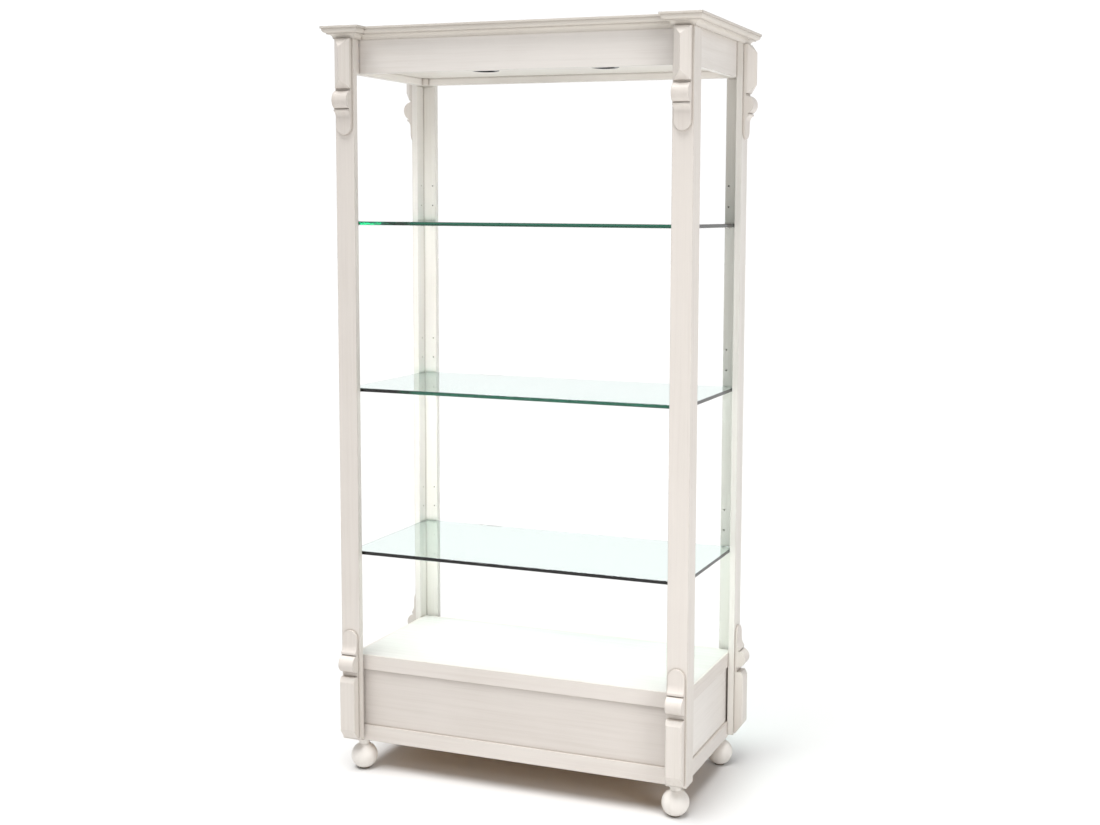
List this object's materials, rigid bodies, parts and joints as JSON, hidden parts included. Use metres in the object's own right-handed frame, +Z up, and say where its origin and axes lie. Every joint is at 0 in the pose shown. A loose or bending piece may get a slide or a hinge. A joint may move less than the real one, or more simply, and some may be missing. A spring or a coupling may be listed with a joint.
{
  "type": "curio cabinet",
  "caption": "Tall open display cabinet in antique-white painted wood with glass shelves, break-front crown, scroll brackets, lit ceiling and ball feet.",
  "frame": {"origin": "on the floor, under the middle of the bounding box", "axes": "+Z up, +X to the right of someone facing the cabinet, -Y out of its front"},
  "size_m": [1.118, 0.564, 2.135],
  "materials": {
    "painted_wood": "satin antique-white paint over wood, lightly brushed",
    "bare_wood": "unpainted softwood",
    "clear_glass": "clear float glass with polished dark green edges",
    "pin_metal": "nickel-plated",
    "zinc_steel": "zinc-plated steel",
    "light_metal": "spun aluminium",
    "light_trim": "dark nickel-plated",
    "lamp_board": "white lamp board",
    "lamp_lens": "frosted glass",
    "driver_plastic": "white moulded plastic",
    "cable_rubber": "black flexible plastic",
    "felt": "brown felt"
  },
  "bodies": {
    "cabinet": {"post_face_fl": "painted_wood", "post_face_fr": "painted_wood", "post_face_bl": "painted_wood", "post_face_br": "painted_wood", "post_side_fl": "painted_wood", "post_side_fr": "painted_wood", "post_side_bl": "painted_wood", "post_side_br": "painted_wood", "upper_scroll_fl": "painted_wood", "upper_scroll_fr": "painted_wood", "upper_scroll_bl": "painted_wood", "upper_scroll_br": "painted_wood", "lower_scroll_fl": "painted_wood", "lower_scroll_fr": "painted_wood", "lower_scroll_bl": "painted_wood", "lower_scroll_br": "painted_wood", "capital_blocks": "painted_wood", "plinth_blocks": "painted_wood", "crown_front": "painted_wood", "crown_corner_l": "painted_wood", "crown_corner_r": "painted_wood", "crown_left": "painted_wood", "crown_right": "painted_wood", "crown_back": "painted_wood", "top_board": "painted_wood", "top_blocks": "painted_wood", "ceiling_panel": "painted_wood", "apron_front": "painted_wood", "apron_back": "painted_wood", "apron_left": "painted_wood", "apron_right": "painted_wood", "light_cans": "light_metal", "light_boards": "lamp_board", "light_lenses": "lamp_lens", "light_rings": "light_trim", "driver_box": "driver_plastic", "light_leads": "cable_rubber", "cord_grommet": "cable_rubber", "shelf_pins_lower": "pin_metal", "shelf_pins_middle": "pin_metal", "shelf_pins_upper": "pin_metal", "deck_board": "painted_wood", "base_blocks": "painted_wood", "base_floor": "bare_wood", "deck_rails": "painted_wood", "plinth_rails": "painted_wood", "base_panel_front": "painted_wood", "base_panel_back": "painted_wood", "base_panel_left": "painted_wood", "base_panel_right": "painted_wood", "ball_foot_fl": "painted_wood", "ball_foot_fr": "painted_wood", "ball_foot_bl": "painted_wood", "ball_foot_br": "painted_wood", "foot_bolts": "zinc_steel", "foot_pads": "felt", "post_screws": "zinc_steel"},
    "shelf_lower": {"shelf_lower": "clear_glass"},
    "shelf_middle": {"shelf_middle": "clear_glass"},
    "shelf_upper": {"shelf_upper": "clear_glass"}
  },
  "joints": [
    {"name": "shelf_lower_lift", "type": "slide", "parent": "cabinet", "child": "shelf_lower", "axis": [0, 0, 1], "range_m": [0, 0.12]},
    {"name": "shelf_middle_lift", "type": "slide", "parent": "cabinet", "child": "shelf_middle", "axis": [0, 0, 1], "range_m": [0, 0.12]},
    {"name": "shelf_upper_lift", "type": "slide", "parent": "cabinet", "child": "shelf_upper", "axis": [0, 0, 1], "range_m": [0, 0.12]}
  ]
}
